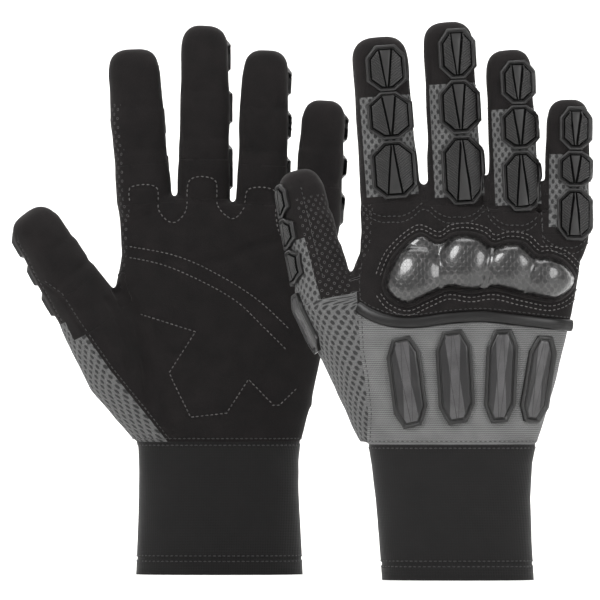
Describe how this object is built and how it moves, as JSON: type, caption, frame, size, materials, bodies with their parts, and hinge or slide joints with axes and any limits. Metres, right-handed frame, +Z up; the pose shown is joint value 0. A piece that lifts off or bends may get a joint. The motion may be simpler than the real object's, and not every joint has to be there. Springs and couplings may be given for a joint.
{
  "type": "riding gloves",
  "caption": "Pair of short-cuff riding gloves standing on their hems, with a hard knuckle guard, moulded finger armour and fingers that bend.",
  "frame": {"origin": "under the middle of the pair, on the surface that both hems stand on", "axes": "+Z up along the fingers, -Y forward: the right glove, back forward, stands in front at +X; the left glove, palm forward, behind it at -X; both thumbs point to -X"},
  "size_m": [0.289, 0.1904, 0.277],
  "materials": {
    "suede": "matt black suede",
    "knitted_mesh": "grey mesh with oval holes",
    "woven_back": "grey ribbed weave",
    "neoprene": "black fabric-faced neoprene",
    "hem_binding": "black double-stitched hem",
    "guard_shell": "clear-coated hard shell with an open weave under the coat",
    "guard_foam": "black foam",
    "moulded_rubber": "dark grey moulded rubber, faceted",
    "piping": "dark grey raised piping",
    "sleeve_suede": "matt black suede with mesh sides"
  },
  "bodies": {
    "left_cuff": {"left_cuff_sleeve": "neoprene", "left_cuff_hem": "hem_binding"},
    "left_hand": {"left_palm_panel": "suede", "left_side_mesh_panel": "knitted_mesh", "left_knuckle_panel": "suede", "left_back_panel": "woven_back", "left_guard_foam": "guard_foam", "left_knuckle_guard": "guard_shell", "left_piping": "piping", "left_moulded_pads": "moulded_rubber"},
    "left_index_lower": {"left_index_lower_sleeve": "sleeve_suede", "left_index_lower_armour": "moulded_rubber"},
    "left_index_upper": {"left_index_upper_sleeve": "sleeve_suede", "left_index_upper_armour": "moulded_rubber"},
    "left_middle_lower": {"left_middle_lower_sleeve": "sleeve_suede", "left_middle_lower_armour": "moulded_rubber"},
    "left_middle_upper": {"left_middle_upper_sleeve": "sleeve_suede", "left_middle_upper_armour": "moulded_rubber"},
    "left_ring_lower": {"left_ring_lower_sleeve": "sleeve_suede", "left_ring_lower_armour": "moulded_rubber"},
    "left_ring_upper": {"left_ring_upper_sleeve": "sleeve_suede", "left_ring_upper_armour": "moulded_rubber"},
    "left_little_lower": {"left_little_lower_sleeve": "sleeve_suede", "left_little_lower_armour": "moulded_rubber"},
    "left_little_upper": {"left_little_upper_sleeve": "sleeve_suede", "left_little_upper_armour": "moulded_rubber"},
    "left_thumb_lower": {"left_thumb_lower_sleeve": "sleeve_suede", "left_thumb_lower_armour": "moulded_rubber"},
    "left_thumb_upper": {"left_thumb_upper_sleeve": "sleeve_suede", "left_thumb_upper_armour": "moulded_rubber"},
    "right_cuff": {"right_cuff_sleeve": "neoprene", "right_cuff_hem": "hem_binding"},
    "right_hand": {"right_palm_panel": "suede", "right_side_mesh_panel": "knitted_mesh", "right_knuckle_panel": "suede", "right_back_panel": "woven_back", "right_guard_foam": "guard_foam", "right_knuckle_guard": "guard_shell", "right_piping": "piping", "right_moulded_pads": "moulded_rubber"},
    "right_index_lower": {"right_index_lower_sleeve": "sleeve_suede", "right_index_lower_armour": "moulded_rubber"},
    "right_index_upper": {"right_index_upper_sleeve": "sleeve_suede", "right_index_upper_armour": "moulded_rubber"},
    "right_middle_lower": {"right_middle_lower_sleeve": "sleeve_suede", "right_middle_lower_armour": "moulded_rubber"},
    "right_middle_upper": {"right_middle_upper_sleeve": "sleeve_suede", "right_middle_upper_armour": "moulded_rubber"},
    "right_ring_lower": {"right_ring_lower_sleeve": "sleeve_suede", "right_ring_lower_armour": "moulded_rubber"},
    "right_ring_upper": {"right_ring_upper_sleeve": "sleeve_suede", "right_ring_upper_armour": "moulded_rubber"},
    "right_little_lower": {"right_little_lower_sleeve": "sleeve_suede", "right_little_lower_armour": "moulded_rubber"},
    "right_little_upper": {"right_little_upper_sleeve": "sleeve_suede", "right_little_upper_armour": "moulded_rubber"},
    "right_thumb_lower": {"right_thumb_lower_sleeve": "sleeve_suede", "right_thumb_lower_armour": "moulded_rubber"},
    "right_thumb_upper": {"right_thumb_upper_sleeve": "sleeve_suede", "right_thumb_upper_armour": "moulded_rubber"}
  },
  "joints": [
    {"name": "left_wrist_flex", "type": "hinge", "parent": "left_cuff", "child": "left_hand", "pos_m": [-0.03948, 0.06824, 0.079], "axis": [1, 0, 0], "range_deg": [-25, 40], "stiffness_Nm_per_rad": 1.5},
    {"name": "left_index_base_bend", "type": "hinge", "parent": "left_hand", "child": "left_index_lower", "pos_m": [-0.07781, 0.06824, 0.19548], "axis": [0.997, 0, 0.0772], "range_deg": [0, 60], "stiffness_Nm_per_rad": 0.12},
    {"name": "left_index_tip_bend", "type": "hinge", "parent": "left_index_lower", "child": "left_index_upper", "pos_m": [-0.07963, 0.06824, 0.219], "axis": [0.997, 0, 0.0772], "range_deg": [0, 60], "stiffness_Nm_per_rad": 0.06},
    {"name": "left_middle_base_bend", "type": "hinge", "parent": "left_hand", "child": "left_middle_lower", "pos_m": [-0.04739, 0.06824, 0.198], "axis": [1, 0, -0.0046], "range_deg": [0, 60], "stiffness_Nm_per_rad": 0.12},
    {"name": "left_middle_tip_bend", "type": "hinge", "parent": "left_middle_lower", "child": "left_middle_upper", "pos_m": [-0.04727, 0.06824, 0.2251], "axis": [1, 0, -0.0046], "range_deg": [0, 60], "stiffness_Nm_per_rad": 0.06},
    {"name": "left_ring_base_bend", "type": "hinge", "parent": "left_hand", "child": "left_ring_lower", "pos_m": [-0.01815, 0.06824, 0.195], "axis": [0.9993, 0, -0.0374], "range_deg": [0, 60], "stiffness_Nm_per_rad": 0.12},
    {"name": "left_ring_tip_bend", "type": "hinge", "parent": "left_ring_lower", "child": "left_ring_upper", "pos_m": [-0.01727, 0.06824, 0.2185], "axis": [0.9993, 0, -0.0374], "range_deg": [0, 60], "stiffness_Nm_per_rad": 0.06},
    {"name": "left_little_base_bend", "type": "hinge", "parent": "left_hand", "child": "left_little_lower", "pos_m": [0.00975, 0.06824, 0.18448], "axis": [0.9971, 0, -0.0766], "range_deg": [0, 60], "stiffness_Nm_per_rad": 0.12},
    {"name": "left_little_tip_bend", "type": "hinge", "parent": "left_little_lower", "child": "left_little_upper", "pos_m": [0.01109, 0.06824, 0.202], "axis": [0.9971, 0, -0.0766], "range_deg": [0, 60], "stiffness_Nm_per_rad": 0.06},
    {"name": "left_thumb_base_bend", "type": "hinge", "parent": "left_hand", "child": "left_thumb_lower", "pos_m": [-0.10623, 0.06224, 0.1345], "axis": [0.5886, 0.6538, 0.4755], "range_deg": [0, 30], "stiffness_Nm_per_rad": 0.12},
    {"name": "left_thumb_tip_bend", "type": "hinge", "parent": "left_thumb_lower", "child": "left_thumb_upper", "pos_m": [-0.12049, 0.05902, 0.15658], "axis": [0.5886, 0.6538, 0.4755], "range_deg": [0, 45], "stiffness_Nm_per_rad": 0.06},
    {"name": "right_glove_lift", "type": "slide", "parent": "left_cuff", "child": "right_cuff", "axis": [0, 0, 1], "range_m": [0, 0.3]},
    {"name": "right_wrist_flex", "type": "hinge", "parent": "right_cuff", "child": "right_hand", "pos_m": [0.07677, -0.06776, 0.079], "axis": [-1, 0, 0], "range_deg": [-25, 40], "stiffness_Nm_per_rad": 1.5},
    {"name": "right_index_base_bend", "type": "hinge", "parent": "right_hand", "child": "right_index_lower", "pos_m": [0.04582, -0.06776, 0.19498], "axis": [-0.9973, 0, -0.0739], "range_deg": [0, 60], "stiffness_Nm_per_rad": 0.12},
    {"name": "right_index_tip_bend", "type": "hinge", "parent": "right_index_lower", "child": "right_index_upper", "pos_m": [0.04397, -0.06776, 0.2199], "axis": [-0.9973, 0, -0.0739], "range_deg": [0, 60], "stiffness_Nm_per_rad": 0.06},
    {"name": "right_middle_base_bend", "type": "hinge", "parent": "right_hand", "child": "right_middle_lower", "pos_m": [0.07837, -0.06776, 0.19449], "axis": [-0.9985, 0, -0.0539], "range_deg": [0, 60], "stiffness_Nm_per_rad": 0.12},
    {"name": "right_middle_tip_bend", "type": "hinge", "parent": "right_middle_lower", "child": "right_middle_upper", "pos_m": [0.07685, -0.06776, 0.2226], "axis": [-0.9985, 0, -0.0539], "range_deg": [0, 60], "stiffness_Nm_per_rad": 0.06},
    {"name": "right_ring_base_bend", "type": "hinge", "parent": "right_hand", "child": "right_ring_lower", "pos_m": [0.10743, -0.06776, 0.19049], "axis": [-0.999, 0, -0.0452], "range_deg": [0, 60], "stiffness_Nm_per_rad": 0.12},
    {"name": "right_ring_tip_bend", "type": "hinge", "parent": "right_ring_lower", "child": "right_ring_upper", "pos_m": [0.10633, -0.06776, 0.2148], "axis": [-0.999, 0, -0.0452], "range_deg": [0, 60], "stiffness_Nm_per_rad": 0.06},
    {"name": "right_little_base_bend", "type": "hinge", "parent": "right_hand", "child": "right_little_lower", "pos_m": [0.13306, -0.06776, 0.1795], "axis": [-0.9999, 0, 0.0121], "range_deg": [0, 60], "stiffness_Nm_per_rad": 0.12},
    {"name": "right_little_tip_bend", "type": "hinge", "parent": "right_little_lower", "child": "right_little_upper", "pos_m": [0.13329, -0.06776, 0.1984], "axis": [-0.9999, 0, 0.0121], "range_deg": [0, 60], "stiffness_Nm_per_rad": 0.06},
    {"name": "right_thumb_base_bend", "type": "hinge", "parent": "right_hand", "child": "right_thumb_lower", "pos_m": [0.01277, -0.06176, 0.146], "axis": [-0.2049, 0.9642, -0.1684], "range_deg": [0, 10], "stiffness_Nm_per_rad": 0.12},
    {"name": "right_thumb_tip_bend", "type": "hinge", "parent": "right_thumb_lower", "child": "right_thumb_upper", "pos_m": [0.00656, -0.05854, 0.17199], "axis": [-0.2049, 0.9642, -0.1684], "range_deg": [0, 30], "stiffness_Nm_per_rad": 0.06}
  ]
}
